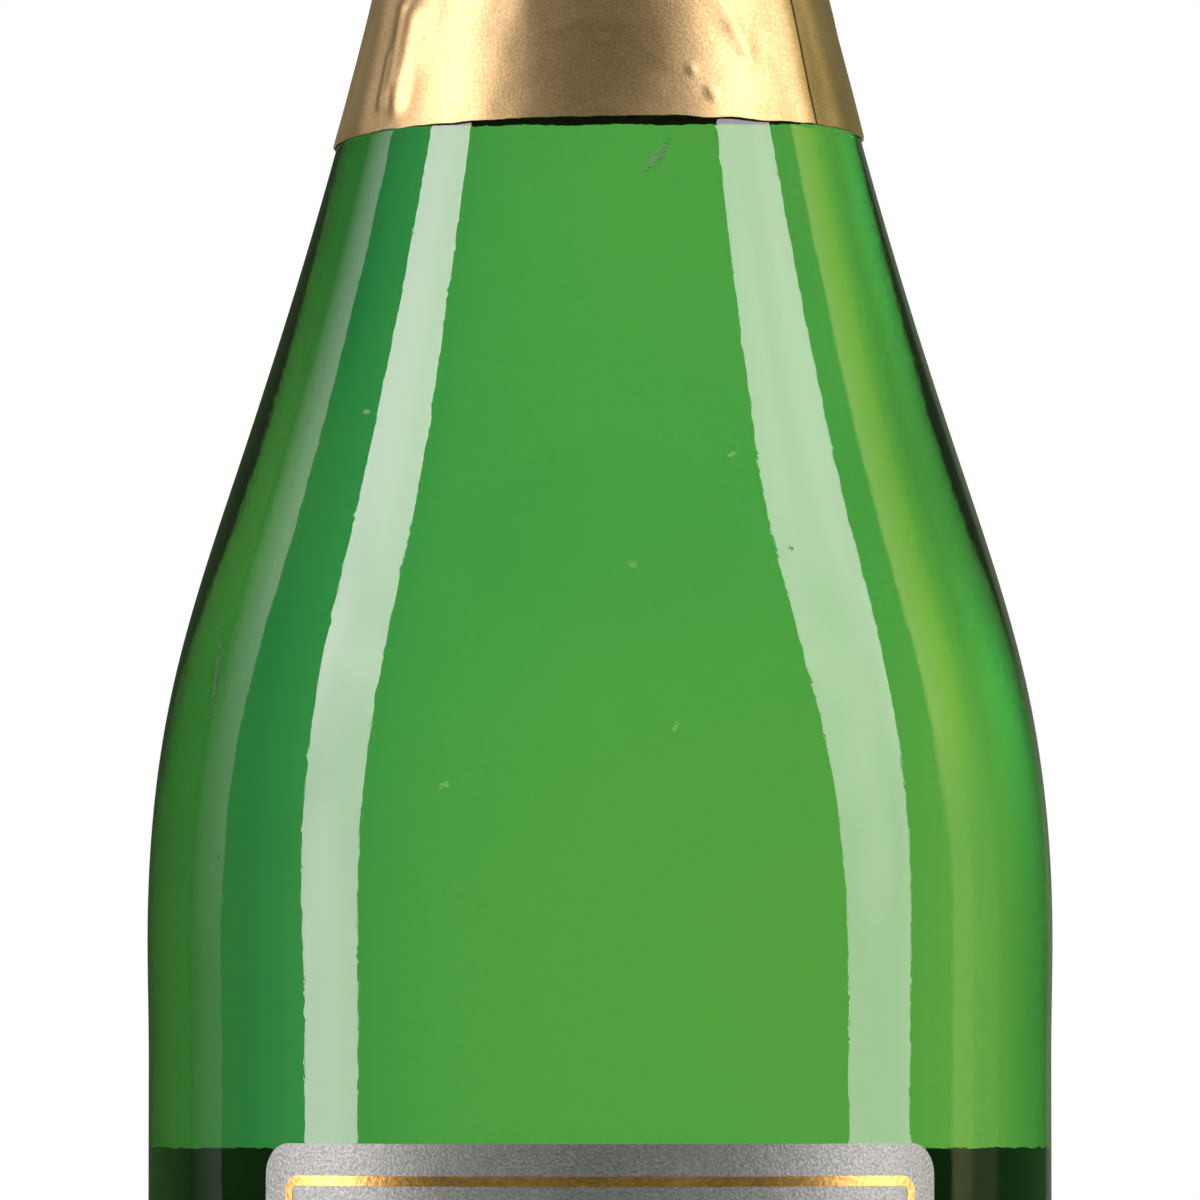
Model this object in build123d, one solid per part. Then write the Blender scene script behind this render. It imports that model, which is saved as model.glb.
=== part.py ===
"""A sealed 75 cl sparkling-wine bottle: thick green glass with a deep punt, the wine, a mushroom cork
under a wire hood and its cap plate, a gold foil that runs down to the shoulder, and front and back labels.

Lengths are millimetres. +Z is up, the origin is the centre of the ring that the bottle stands on, and the
front label faces -Y. Every outline is a half section: its first number is a radius from the bottle's axis
and its second a height above the table.
"""

import os
from math import cos, radians, sin

from build123d import *

# Glass: body
body_diameter = 88.6
panel_inset = 0.15
glass_height = 300.0
heel_radius = 9.0
lower_land_height = 3.0
land_blend_height = 4.0
panel_blend_height = 12.2
shoulder_level = 124.2
bearing_width = 2.0
bearing_rounding = 2.0
body_wall = 4.9

# Glass: shoulder and neck, as shares of the climb from the widest level to the neck and of the narrowing
shoulder_shares = (
    (0.15, 0.925),
    (0.30, 0.693),
    (0.45, 0.447),
    (0.62, 0.218),
    (0.80, 0.0565),
)
neck_diameter = 29.4
neck_straight_height = 3.0
neck_wall = 6.0
bore_diameter = 17.5
bore_depth = 25.0

# Glass: punt in the base, and the floor over it
punt_depth = 37.0
punt_shares = ((0.25, 0.96), (0.50, 0.81), (0.75, 0.51))
punt_mouth_angle = 68.0
floor_thickness = 9.0
gutter_level = 15.0
gutter_radius = 4.0

# Glass: the ring that the hood grips, the groove and the lip
finish_height = 17.0
ring_diameter = 33.8
ring_band_height = 6.0
ring_slope_height = 2.4
ring_rounding = 1.1
groove_diameter = 28.0
groove_height = 1.6
lip_diameter = 28.9
lip_slope_height = 0.9
lip_rounding = 1.9
mouth_rounding = 0.8

# Wine
fill_drop = 79.0

# Cork
cork_clearance = 0.05
cork_insert = 24.0
cork_lip_gap = 0.25
cork_head_diameter = 28.6
cork_head_height = 20.3
cork_flare_height = 3.4
cork_flare_rounding = 1.6
cork_crown_diameter = 23.6
cork_crown_height = 4.4
cork_crown_rounding = 2.2
cork_disc_thickness = 6.0

# Wire hood
wire_diameter = 0.85
wire_gap = 0.25
strand_diameter = 1.2
eyelet_play = 0.3
leg_count = 4
leg_turn = 45.0
leg_bend_radius = 4.0
leg_top_drop = 2.4
leg_waist_height = 4.0
leg_out_drop = 4.0
belt_gap = 0.25
belt_drop = 1.2
belt_shares = (1.0, 0.5, 0.03, 0.0, 0.03, 0.5)
eye_bend_radius = 1.6
eye_stem_height = 5.5
eye_width = 7.5
eye_height = 9.0
eye_rounding = 2.9

# Cap plate
plate_diameter = 30.6
plate_thickness = 0.3
plate_rim_height = 1.4
plate_rounding = 0.7
plate_play = 0.05

# Foil
foil_thickness = 0.15
glue_thickness = 0.05
foil_edge_drop = 98.0
foil_edge_tilt_sideways = 0.8
foil_edge_tilt_forwards = 0.8
foil_lap_start = 53.0
foil_lap_angle = 30.0
foil_gap = 0.25
tear_drop = 2.8
tear_height = 8.7
cap_shoulder_drop = 3.0
cap_waist_height = 9.0
cap_waist_gap = 0.3
cap_corner_radius = 2.2
cap_bend_radius = 4.0
cap_flange_width = 6.0
top_disc_diameter = 27.0
tab_length = 11.0
tab_width = 6.0
tab_thickness = 0.25
tab_rounding = 1.8
tab_angle = 25.0
tab_stand_off = 0.15

# Labels, as seen square on
label_thickness = 0.12
label_drop = 7.75
label_height = 85.0
label_width = 63.1
label_corner = 2.9
back_label_drop = 8.8
back_label_height = 78.0
back_label_width = 58.0
frame_inset_top = 3.05
frame_inset_side = 1.86
frame_line_height = 0.95
frame_line_width = 0.68
frame_corner = 1.4
frame_thickness = 0.06

# Room beyond the bottle for every cut
overrun = 20.0

# Sizes that follow from the ones above
body_radius = body_diameter / 2
panel_radius = body_radius - panel_inset
neck_radius = neck_diameter / 2
bore_radius = bore_diameter / 2
ring_radius = ring_diameter / 2
panel_top = shoulder_level - panel_blend_height
ring_under_level = glass_height - finish_height
neck_level = ring_under_level - neck_straight_height
bore_bottom = glass_height - bore_depth
cork_bottom = glass_height - cork_insert
cork_top = glass_height + cork_head_height
cork_head_radius = cork_head_diameter / 2
wire_radius = wire_diameter / 2
leg_radius = wire_diameter
plate_radius = plate_diameter / 2
eyelet_radius = wire_radius + (wire_diameter + eyelet_play) / 2
eyelet_reach = eyelet_radius + wire_radius
eyelet_centre = ring_radius + wire_gap + eyelet_reach
leg_centre = ring_radius + wire_gap + leg_radius
waist_centre = cork_head_radius + wire_gap + leg_radius
belt_level = ring_under_level - belt_drop
cap_radius = eyelet_centre + eyelet_reach + foil_gap
cap_waist_radius = waist_centre + leg_radius + cap_waist_gap
cap_top = cork_top + plate_thickness + foil_gap
tear_high_level = ring_under_level - tear_drop
tear_low_level = tear_high_level - tear_height
front = -90
wide = body_diameter + overrun
tall = glass_height + overrun


def spin(edges, start=0, arc=360):
    """The solid that a closed half section sweeps round the axis, from one azimuth through an arc."""
    return Rot(0, 0, start) * revolve(Plane.XZ * make_face(edges), Axis.Z, arc)


def slab(low, high):
    """Everything between two levels."""
    return Pos(0, 0, low) * Box(wide, wide, high - low, align=(Align.CENTER, Align.CENTER, Align.MIN))


def shoulder_level_at(share):
    """The level at a share of the climb from the widest level to the neck."""
    return shoulder_level + (neck_level - shoulder_level) * share


def shoulder_radius_at(share):
    """The outside radius at a share of the narrowing."""
    return neck_radius + (body_radius - neck_radius) * share


def wall_at(share):
    """The glass thickens towards the neck."""
    return body_wall + (neck_wall - body_wall) * (1 - share) ** 2


def shoulder_curve(extra=0.0):
    """The outside of shoulder and neck, moved outwards by extra."""
    points = [(body_radius + extra, shoulder_level)]
    points += [(shoulder_radius_at(r) + extra, shoulder_level_at(h)) for h, r in shoulder_shares]
    points += [(neck_radius + extra, neck_level)]
    return Spline(points, tangents=[(0, 1), (0, 1)])


def dome(reach, rise, base_level):
    """The punt's curve, from its top on the axis out to its mouth."""
    mouth_way = (cos(radians(punt_mouth_angle)), -sin(radians(punt_mouth_angle)))
    points = [(0, base_level + rise)]
    points += [(reach * r, base_level + rise * h) for r, h in punt_shares]
    points += [(reach, base_level)]
    return Spline(points, tangents=[(1, 0), mouth_way])


def finish_outline():
    """From the neck, over ring, groove and lip, to the mouth's edge."""
    groove_radius = groove_diameter / 2
    lip_radius = lip_diameter / 2
    ring_low = ring_under_level + ring_rounding
    ring_high = ring_low + ring_band_height
    groove_low = ring_high + ring_slope_height
    groove_high = groove_low + groove_height
    soft = ring_rounding / 2
    return FilletPolyline(
        (neck_radius, ring_under_level),
        (ring_radius, ring_under_level + soft),
        (ring_radius, ring_high),
        (groove_radius, groove_low),
        (groove_radius, groove_high),
        (lip_radius, groove_high + lip_slope_height),
        (lip_radius, glass_height),
        (bore_radius, glass_height),
        radius=[ring_rounding, ring_rounding, soft, soft, soft, lip_rounding],
    )


def glass_blank():
    """The bottle's outside as one full body, with the punt but no hollow."""
    bearing_outer = body_radius - heel_radius
    bearing_inner = bearing_outer - bearing_width
    slant = radians(punt_mouth_angle)
    punt_end = (bearing_inner - bearing_rounding * sin(slant), bearing_rounding * (1 - cos(slant)))
    land_top = heel_radius + lower_land_height
    panel_bottom = land_top + land_blend_height
    return spin(
        [
            dome(punt_end[0], punt_depth - punt_end[1], punt_end[1]),
            RadiusArc(punt_end, (bearing_inner, 0), -bearing_rounding),
            Line((bearing_inner, 0), (bearing_outer, 0)),
            RadiusArc((bearing_outer, 0), (body_radius, heel_radius), -heel_radius),
            Line((body_radius, heel_radius), (body_radius, land_top)),
            Spline([(body_radius, land_top), (panel_radius, panel_bottom)], tangents=[(0, 1), (0, 1)]),
            Line((panel_radius, panel_bottom), (panel_radius, panel_top)),
            Spline([(panel_radius, panel_top), (body_radius, shoulder_level)], tangents=[(0, 1), (0, 1)]),
            shoulder_curve(),
            Line((neck_radius, neck_level), (neck_radius, ring_under_level)),
            *finish_outline().edges(),
            Line((bore_radius, glass_height), (0, glass_height)),
            Line((0, glass_height), (0, punt_depth)),
        ]
    )


def hollow():
    """The space inside the glass, from the floor over the punt to the mouth."""
    inner_radius = body_radius - body_wall
    slant = radians(punt_mouth_angle)
    gutter_reach = gutter_radius * (1 + sin(slant))
    floor_end = (inner_radius - gutter_reach, gutter_level + gutter_radius * (1 - cos(slant)))
    wall_start = (inner_radius, gutter_level + gutter_radius)
    floor_rise = punt_depth + floor_thickness - floor_end[1]
    mouth_start = glass_height - mouth_rounding
    mouth_radius = bore_radius + mouth_rounding
    points = [(inner_radius, shoulder_level)]
    points += [(shoulder_radius_at(r) - wall_at(r), shoulder_level_at(h)) for h, r in shoulder_shares]
    points += [(bore_radius, bore_bottom)]
    return spin(
        [
            dome(floor_end[0], floor_rise, floor_end[1]),
            RadiusArc(floor_end, wall_start, -gutter_radius),
            Line(wall_start, (inner_radius, shoulder_level)),
            Spline(points, tangents=[(0, 1), (0, 1)]),
            Line((bore_radius, bore_bottom), (bore_radius, mouth_start)),
            RadiusArc((bore_radius, mouth_start), (mouth_radius, glass_height), mouth_rounding),
            Line((mouth_radius, glass_height), (0, glass_height)),
            Line((0, glass_height), (0, punt_depth + floor_thickness)),
        ]
    )


def cork_blank():
    """The whole cork: the pressed shank in the bore and the mushroom head over the lip."""
    shank_radius = bore_radius - cork_clearance
    crown_radius = cork_crown_diameter / 2
    head_low = glass_height + cork_lip_gap
    outline = FilletPolyline(
        (0, cork_bottom),
        (shank_radius, cork_bottom),
        (shank_radius, head_low),
        (bore_radius + mouth_rounding + cork_flare_rounding, head_low),
        (cork_head_radius, head_low + cork_flare_height),
        (cork_head_radius, cork_top - cork_crown_height),
        (crown_radius, cork_top),
        (0, cork_top),
        radius=[
            cork_clearance,
            cork_lip_gap,
            cork_flare_rounding,
            cork_flare_rounding,
            cork_crown_rounding,
            cork_crown_rounding,
        ],
    )
    return spin([*outline.edges(), Line((0, cork_top), (0, cork_bottom))])


def cork_parts():
    """The pressed-granule body and the two natural cork discs glued under it."""
    blank = cork_blank()
    lower_top = cork_bottom + cork_disc_thickness
    upper_top = lower_top + cork_disc_thickness
    return {
        "cork_body": blank & slab(upper_top, tall + overrun),
        "cork_disc_upper": blank & slab(lower_top, upper_top),
        "cork_disc_lower": blank & slab(0, lower_top),
    }


def cap_plate():
    """The stamped plate on the cork's top, its rim turned down over the hood's top wire."""
    top = cork_top + plate_thickness
    rim_bottom = top - plate_rim_height
    inner_radius = plate_radius - plate_thickness
    outer = FilletPolyline((0, top), (plate_radius, top), (plate_radius, rim_bottom), radius=plate_rounding)
    inner = FilletPolyline(
        (0, cork_top),
        (inner_radius, cork_top),
        (inner_radius, rim_bottom),
        radius=plate_rounding - plate_thickness,
    )
    ends = [Line((0, cork_top), (0, top)), Line((inner_radius, rim_bottom), (plate_radius, rim_bottom))]
    return spin([*outer.edges(), *inner.edges(), *ends])


def wire_along(path, radius):
    """A round wire swept along a path."""
    start = Plane(origin=path @ 0, z_dir=path % 0)
    return sweep(start * Circle(radius), path=path)


def hood_leg(top_radius, top_level):
    """One leg at azimuth 0: a strand from the top ring, the twisted pair, and the eyelet at its foot."""
    rim_clear = cork_top + plate_thickness - plate_rim_height - wire_diameter
    pair_top = top_level - leg_top_drop
    strand = FilletPolyline(
        (top_radius, 0, top_level + wire_radius / 2),
        (top_radius, 0, rim_clear),
        (waist_centre, 0, pair_top),
        (waist_centre, 0, pair_top - leg_top_drop),
        radius=[wire_diameter, wire_diameter],
    )
    pair = FilletPolyline(
        (waist_centre, 0, pair_top - wire_diameter),
        (waist_centre, 0, glass_height + leg_waist_height),
        (leg_centre, 0, glass_height - leg_out_drop),
        (leg_centre, 0, belt_level + eyelet_radius),
        radius=[leg_bend_radius, leg_bend_radius],
    )
    eyelet = Pos(eyelet_centre, 0, belt_level) * Rot(90, 0, 0) * Torus(eyelet_radius, wire_radius)
    return wire_along(strand, strand_diameter / 2) + wire_along(pair, leg_radius) + eyelet


def cage_wire():
    """The hood's frame, one wire: the top ring under the plate's rim, and four legs."""
    top_radius = plate_radius - plate_thickness - plate_play - strand_diameter / 2
    top_level = cork_top - wire_radius
    leg = hood_leg(top_radius, top_level)
    legs = [Rot(0, 0, leg_turn + number * 360 / leg_count) * leg for number in range(leg_count)]
    return Pos(0, 0, top_level) * Torus(top_radius, wire_radius) + legs


def belt_loop():
    """The belt drawn tight under the glass ring, out through each leg's eyelet and in again."""
    hug = neck_radius + belt_gap + wire_radius
    step = 360 / leg_count / len(belt_shares)
    points = []
    for number, share in enumerate(belt_shares * leg_count):
        azimuth = radians(leg_turn + number * step)
        radius = hug + (eyelet_centre - hug) * share
        points.append((radius * cos(azimuth), radius * sin(azimuth), belt_level))
    return wire_along(Spline(points, periodic=True), wire_radius)


def belt_wire():
    """The belt, and its two ends twisted into a stem with the loop that is gripped to undo it."""
    root = neck_radius + belt_gap + wire_radius
    stem_top = belt_level + eye_stem_height
    stem = FilletPolyline(
        (root, 0, belt_level),
        (leg_centre, 0, belt_level),
        (leg_centre, 0, stem_top),
        radius=[eye_bend_radius],
    )
    line = RectangleRounded(eye_width - wire_diameter, eye_height - wire_diameter, eye_rounding)
    line_middle = stem_top + (eye_height - wire_diameter) / 2
    loop = Pos(leg_centre, 0, line_middle) * Rot(0, 90, 0) * Rot(0, 0, 90) * line.face().outer_wire()
    eye = wire_along(stem, leg_radius) + wire_along(loop, wire_radius)
    return belt_loop() + Rot(0, 0, front) * eye


def foil_sheet(near, far, start=0, arc=360):
    """A sheet over shoulder and neck, between two distances out from the glass."""
    low_edge = Line((body_radius + near, shoulder_level), (body_radius + far, shoulder_level))
    high_edge = Line((neck_radius + near, neck_level), (neck_radius + far, neck_level))
    return spin([shoulder_curve(near), shoulder_curve(far), low_edge, high_edge], start, arc)


def foil_skirt():
    """The lower foil: one sheet rolled round the glass, lapped over itself right of the front label."""
    outer = glue_thickness + foil_thickness
    sheet = foil_sheet(glue_thickness, outer)
    sheet = sheet + foil_sheet(outer, outer + foil_thickness, front + foil_lap_start, foil_lap_angle)
    tilt = Rot(-foil_edge_tilt_forwards, -foil_edge_tilt_sideways, 0)
    above = Box(wide, wide, wide, align=(Align.CENTER, Align.CENTER, Align.MIN))
    above = Pos(0, 0, glass_height - foil_edge_drop) * tilt * above
    return sheet & above & slab(0, tear_low_level)


def strip_foot_radius():
    """The glass's outside radius where the tear strip starts to flare."""
    level_line = Axis((0, tear_low_level, 0), (1, 0, 0))
    return max(point.X for point in shoulder_curve().find_intersection_points(level_line))


def flared_shell(near, far):
    """A shell along the tear strip's flare, between two distances out from its inner face."""
    foot = strip_foot_radius() + glue_thickness
    outline = Polyline(
        (foot + near, tear_low_level),
        (foot + far, tear_low_level),
        (cap_radius + far, tear_high_level),
        (cap_radius + near, tear_high_level),
        close=True,
    )
    return spin(outline.edges())


def tear_strip():
    """The band under the belt that is torn off first."""
    return flared_shell(0, foil_thickness)


def tear_tab():
    """The tongue at the strip's free end, lying along the strip."""
    near = foil_thickness + tab_stand_off
    middle = (tear_low_level + tear_high_level) / 2
    tongue = extrude(Plane.XZ * Pos(0, middle) * RectangleRounded(tab_length, tab_width, tab_rounding), wide)
    return flared_shell(near, near + tab_thickness) & Rot(0, 0, tab_angle) * tongue


def foil_cap():
    """The upper foil over cork and hood, its top edge folded in under the top disc."""

    def wall(extra):
        return [
            (cap_radius + extra, tear_high_level),
            (cap_radius + extra, glass_height - cap_shoulder_drop),
            (cap_waist_radius + extra, glass_height + cap_waist_height),
            (cap_waist_radius + extra, cap_top + extra),
            (cap_waist_radius - cap_flange_width, cap_top + extra),
        ]

    def bent(extra):
        radii = [cap_bend_radius, cap_bend_radius, cap_corner_radius + extra]
        return FilletPolyline(*wall(extra), radius=radii)

    inner = bent(0)
    outer = bent(foil_thickness)
    return spin([*inner.edges(), *outer.edges(), Line(inner @ 0, outer @ 0), Line(inner @ 1, outer @ 1)])


def foil_top_disc():
    """The stamped disc glued over the foil cap's folded edge."""
    disc = Cylinder(top_disc_diameter / 2, foil_thickness, align=(Align.CENTER, Align.CENTER, Align.MIN))
    return Pos(0, 0, cap_top + foil_thickness) * disc


def on_body(profile, radius, thickness, turn):
    """A flat outline, seen square on, wrapped on the body at a radius; turn 0 puts it in front."""
    shell = Cylinder(radius + thickness, shoulder_level, align=(Align.CENTER, Align.CENTER, Align.MIN))
    shell = shell - Cylinder(radius, shoulder_level, align=(Align.CENTER, Align.CENTER, Align.MIN))
    return Rot(0, 0, turn) * (shell & extrude(Plane.XZ * profile, wide))


def label_parts(name, top, height, width, turn):
    """A paper label, and the gold line stamped round it."""
    paper_radius = panel_radius + glue_thickness
    place = Pos(0, top - height / 2)
    paper = place * RectangleRounded(width, height, label_corner)
    line_width = width - 2 * frame_inset_side
    line_height = height - 2 * frame_inset_top
    inner_width = line_width - 2 * frame_line_width
    inner_height = line_height - 2 * frame_line_height
    line = RectangleRounded(line_width, line_height, frame_corner)
    line = line - RectangleRounded(inner_width, inner_height, frame_corner - frame_line_width)
    return {
        name: on_body(paper, paper_radius, label_thickness, turn),
        name + "_frame": on_body(place * line, paper_radius + label_thickness, frame_thickness, turn),
    }


def build_parts():
    """Every piece by its name."""
    blank = glass_blank()
    cavity = hollow()
    parts = {
        "glass_bottle": blank - cavity,
        "wine": cavity & slab(0, glass_height - fill_drop),
        "cap_plate": cap_plate(),
        "cage_wire": cage_wire(),
        "belt_wire": belt_wire(),
        "foil_skirt": foil_skirt(),
        "tear_strip": tear_strip(),
        "tear_tab": tear_tab(),
        "foil_cap": foil_cap(),
        "foil_top_disc": foil_top_disc(),
    }
    parts.update(cork_parts())
    front_top = panel_top - label_drop
    back_top = panel_top - back_label_drop
    parts.update(label_parts("front_label", front_top, label_height, label_width, 0))
    parts.update(label_parts("back_label", back_top, back_label_height, back_label_width, 180))
    return parts


os.makedirs("parts", exist_ok=True)
for name, shape in build_parts().items():
    export_step(shape, f"parts/{name}.step")
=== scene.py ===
"""Looks for a sealed 75 cl sparkling-wine bottle: green glass full of wine, a gold neck foil, silver
labels, and under the foil the wire hood, its plate and the mushroom cork.

Outlines are in millimetres. A section's point is a radius from the bottle's axis and a height above the
table. Azimuths are in degrees from the front, which is -Y, and grow to the right of someone facing the
front label.
"""

import random
from math import asin, atan2, cos, degrees, exp, hypot, pi, radians, sin, sqrt, tan

import bmesh
import bpy
import numpy as np
from mathutils import Matrix, Vector, noise
from mathutils.geometry import interpolate_bezier


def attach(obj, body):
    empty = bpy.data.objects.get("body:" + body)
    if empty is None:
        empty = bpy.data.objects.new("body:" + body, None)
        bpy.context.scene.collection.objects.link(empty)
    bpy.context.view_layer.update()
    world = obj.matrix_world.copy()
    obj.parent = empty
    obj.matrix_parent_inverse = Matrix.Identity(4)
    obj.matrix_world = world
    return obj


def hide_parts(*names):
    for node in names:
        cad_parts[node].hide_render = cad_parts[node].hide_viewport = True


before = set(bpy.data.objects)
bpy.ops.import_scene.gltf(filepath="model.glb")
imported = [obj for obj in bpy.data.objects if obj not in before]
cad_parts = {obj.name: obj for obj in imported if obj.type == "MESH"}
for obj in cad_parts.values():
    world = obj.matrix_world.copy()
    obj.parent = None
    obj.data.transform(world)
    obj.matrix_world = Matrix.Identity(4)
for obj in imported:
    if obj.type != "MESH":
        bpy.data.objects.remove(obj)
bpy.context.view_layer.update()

MILLIMETRE = 0.001

# Glass, as in the CAD source
BODY = 44.3
PANEL = 44.15
HEEL = 9.0
LAND_TOP = 12.0
PANEL_BOTTOM = 16.0
PANEL_TOP = 112.0
SHOULDER = 124.2
NECK = 14.7
NECK_LEVEL = 280.0
BORE = 8.75
BORE_BOTTOM = 275.0
GLASS_TOP = 300.0
BODY_WALL = 4.9
NECK_WALL = 6.0
SHOULDER_SHARES = ((0.15, 0.925), (0.30, 0.693), (0.45, 0.447), (0.62, 0.218), (0.80, 0.0565))
PUNT_DEPTH = 37.0
PUNT_SHARES = ((0.25, 0.96), (0.50, 0.81), (0.75, 0.51))
PUNT_MOUTH = radians(68)
BEARING_WIDTH = 2.0
BEARING_ROUND = 2.0
FLOOR_THICKNESS = 9.0
GUTTER_LEVEL = 15.0
GUTTER_ROUND = 4.0
FILL_LEVEL = 221.0
# The wine's top near the glass: distance inwards from the brim, and drop
MENISCUS = ((0.4, 0.5), (1.4, 0.9), (3.5, 1.1))
WINE_GAP = 0.02

# The ring that the hood grips, the groove over it and the lip
RING = 16.9
RING_UNDER = 283.0
RING_TOP = 290.1
RING_ROUND = 1.1
GROOVE = 14.0
GROOVE_LOW = 292.5
GROOVE_HIGH = 294.1
LIP = 14.45
LIP_LOW = 295.0
LIP_ROUND = 1.9
MOUTH_ROUND = 0.8

# Sheets on the glass
GLUE = 0.05
FOIL = 0.15
PAPER = 0.12
GOLD_LINE = 0.05
SKIRT_EDGE = 202.0
SKIRT_TOP = 271.5
STRIP_TOP = 280.2
CAP_RADIUS = 20.25
CAP_WALL_TOP = 297.0
CAP_WAIST = 16.55
CAP_WAIST_LEVEL = 309.0
CAP_TOP = 320.85
CAP_FOLD = 10.55
LAP_START = 53.0
LAP_END = 83.0
LAP_FADE = 4.0
# A perforated row starts and ends so far from its sheet's edge, and every third place in it is a bridge
SLIT_START = 0.2
SLIT_END = 0.5
BRIDGE_EVERY = 3
LABEL_CORNER = 3.0
LINE_FROM_SIDE = 2.58
LINE_FROM_TOP = 3.05
LINE_CORNER = 1.5
LINE_WIDTH = 0.93
TAB_LENGTH = 10.9
TAB_WIDTH = 6.4
TAB_CORNER = 1.8
TAB_THICKNESS = 0.2
TAB_AZIMUTH = 25.0

# Cork and plate
SHANK = 8.7
CORK_HEAD = 14.3
CORK_TOP = 320.3
GRANULES_FOOT = 288.0
SLICE = 6.0
PLATE_TOP = 320.6
PLATE_RIM_FOOT = 319.2
PLATE_EDGE = 15.3

# Wire
WIRE = 0.425
LEG_COUNT = 4
LEG_TURN = 45.0
BELT_LEVEL = 281.8
EYELET_CENTRE = 18.575
EYELET_RADIUS = 1.0
TOP_RING = 14.35
TOP_RING_LEVEL = 319.875
LEG_WAIST = 15.4
LEG_FOOT = 18.0

ROUND_STEPS = 160
SHARP_ANGLE = radians(32)
MERGE_GAP = 0.0004


# Outlines


def smooth_line(knots, first_way, last_way, steps):
    """Points along the cubic spline through the knots, with its direction given at both ends."""
    knots = np.array(knots, float)
    spans = np.linalg.norm(np.diff(knots, axis=0), axis=1)
    system = np.eye(len(knots))
    wanted = np.zeros_like(knots)
    wanted[0], wanted[-1] = first_way, last_way
    for i in range(1, len(knots) - 1):
        before, after = spans[i - 1], spans[i]
        system[i, i - 1 : i + 2] = after, 2 * (before + after), before
        rise = before * (knots[i + 1] - knots[i]) / after + after * (knots[i] - knots[i - 1]) / before
        wanted[i] = 3 * rise
    ways = np.linalg.solve(system, wanted)
    line = [Vector(knots[0])]
    for i, span in enumerate(spans):
        start, end = knots[i], knots[i + 1]
        reach, onward = ways[i] * span / 3, ways[i + 1] * span / 3
        line += interpolate_bezier(start, start + reach, end - onward, end, steps)[1:]
    return line


def rounded_line(corners, radii, steps=6):
    """Straight runs with an arc at every inner corner."""
    corners = [Vector(corner) for corner in corners]
    line = [corners[0]]
    for before, corner, after, radius in zip(corners, corners[1:], corners[2:], radii):
        back, onward = (before - corner).normalized(), (after - corner).normalized()
        turn = pi - back.angle(onward)
        reach, grip = radius * tan(turn / 2), radius * 4 / 3 * tan(turn / 4)
        start, end = corner + back * reach, corner + onward * reach
        line += interpolate_bezier(start, start - back * grip, end - onward * grip, end, steps)
    return line + [corners[-1]]


def even_line(line, gap):
    """The same line with its points an even gap apart."""
    length = sum((b - a).length for a, b in zip(line, line[1:]))
    count = max(2, round(length / gap))
    points, walked, wanted = [line[0].copy()], 0.0, length / count
    for a, b in zip(line, line[1:]):
        run = (b - a).length
        while run > 0 and walked + run >= wanted - 1e-9 and len(points) < count:
            points.append(a.lerp(b, (wanted - walked) / run))
            wanted += length / count
        walked += run
    return points + [line[-1].copy()]


def on_shoulder(level, extra=0.0):
    """The glass's outside radius at a level of shoulder or neck, plus a distance outwards."""
    return float(np.interp(level, SHOULDER_LEVELS, SHOULDER_RADII)) + extra


def shoulder_knots(wall=False):
    """The shoulder's and neck's main points, outside or inside."""
    climb, narrowing = NECK_LEVEL - SHOULDER, BODY - NECK
    knots = []
    for height, share in SHOULDER_SHARES:
        radius = NECK + narrowing * share
        if wall:
            radius -= BODY_WALL + (NECK_WALL - BODY_WALL) * (1 - share) ** 2
        knots.append((radius, SHOULDER + climb * height))
    if wall:
        return [(BODY - BODY_WALL, SHOULDER), *knots, (BORE, BORE_BOTTOM)]
    return [(BODY, SHOULDER), *knots, (NECK, NECK_LEVEL)]


SHOULDER_LINE = smooth_line(shoulder_knots(), (0, 1), (0, 1), 40)
SHOULDER_LEVELS = [point.y for point in SHOULDER_LINE]
SHOULDER_RADII = [point.x for point in SHOULDER_LINE]


def dome(reach, rise, base_level):
    """The punt's curve, from its top on the axis out to its mouth."""
    knots = [(0, base_level + rise)]
    knots += [(reach * r, base_level + rise * h) for r, h in PUNT_SHARES]
    knots += [(reach, base_level)]
    return smooth_line(knots, (1, 0), (cos(PUNT_MOUTH), -sin(PUNT_MOUTH)), 9)


def arc(centre, radius, start, end, steps):
    """Points of an arc, with its two angles in degrees from the direction away from the axis."""
    turn = [radians(start + (end - start) * i / steps) for i in range(steps + 1)]
    return [Vector((centre[0] + radius * cos(a), centre[1] + radius * sin(a))) for a in turn]


def glass_inside():
    """The hollow's outline from the axis, over the floor and up the wall to the bore's bottom."""
    centre = (BODY - BODY_WALL - GUTTER_ROUND, GUTTER_LEVEL + GUTTER_ROUND)
    reach = centre[0] - GUTTER_ROUND * sin(PUNT_MOUTH)
    base_level = centre[1] - GUTTER_ROUND * cos(PUNT_MOUTH)
    floor = dome(reach, PUNT_DEPTH + FLOOR_THICKNESS - base_level, base_level)
    gutter = arc(centre, GUTTER_ROUND, -90 - degrees(PUNT_MOUTH), 0, 14)
    climb = smooth_line(shoulder_knots(wall=True), (0, 1), (0, 1), 16)
    return [*floor, *gutter[1:], *climb]


def brim_point():
    """Where the wine's top meets the glass."""
    climb = [point for point in glass_inside() if point.y > SHOULDER]
    radius = np.interp(FILL_LEVEL, [point.y for point in climb], [point.x for point in climb])
    return Vector((float(radius), FILL_LEVEL))


# Meshes


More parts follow.
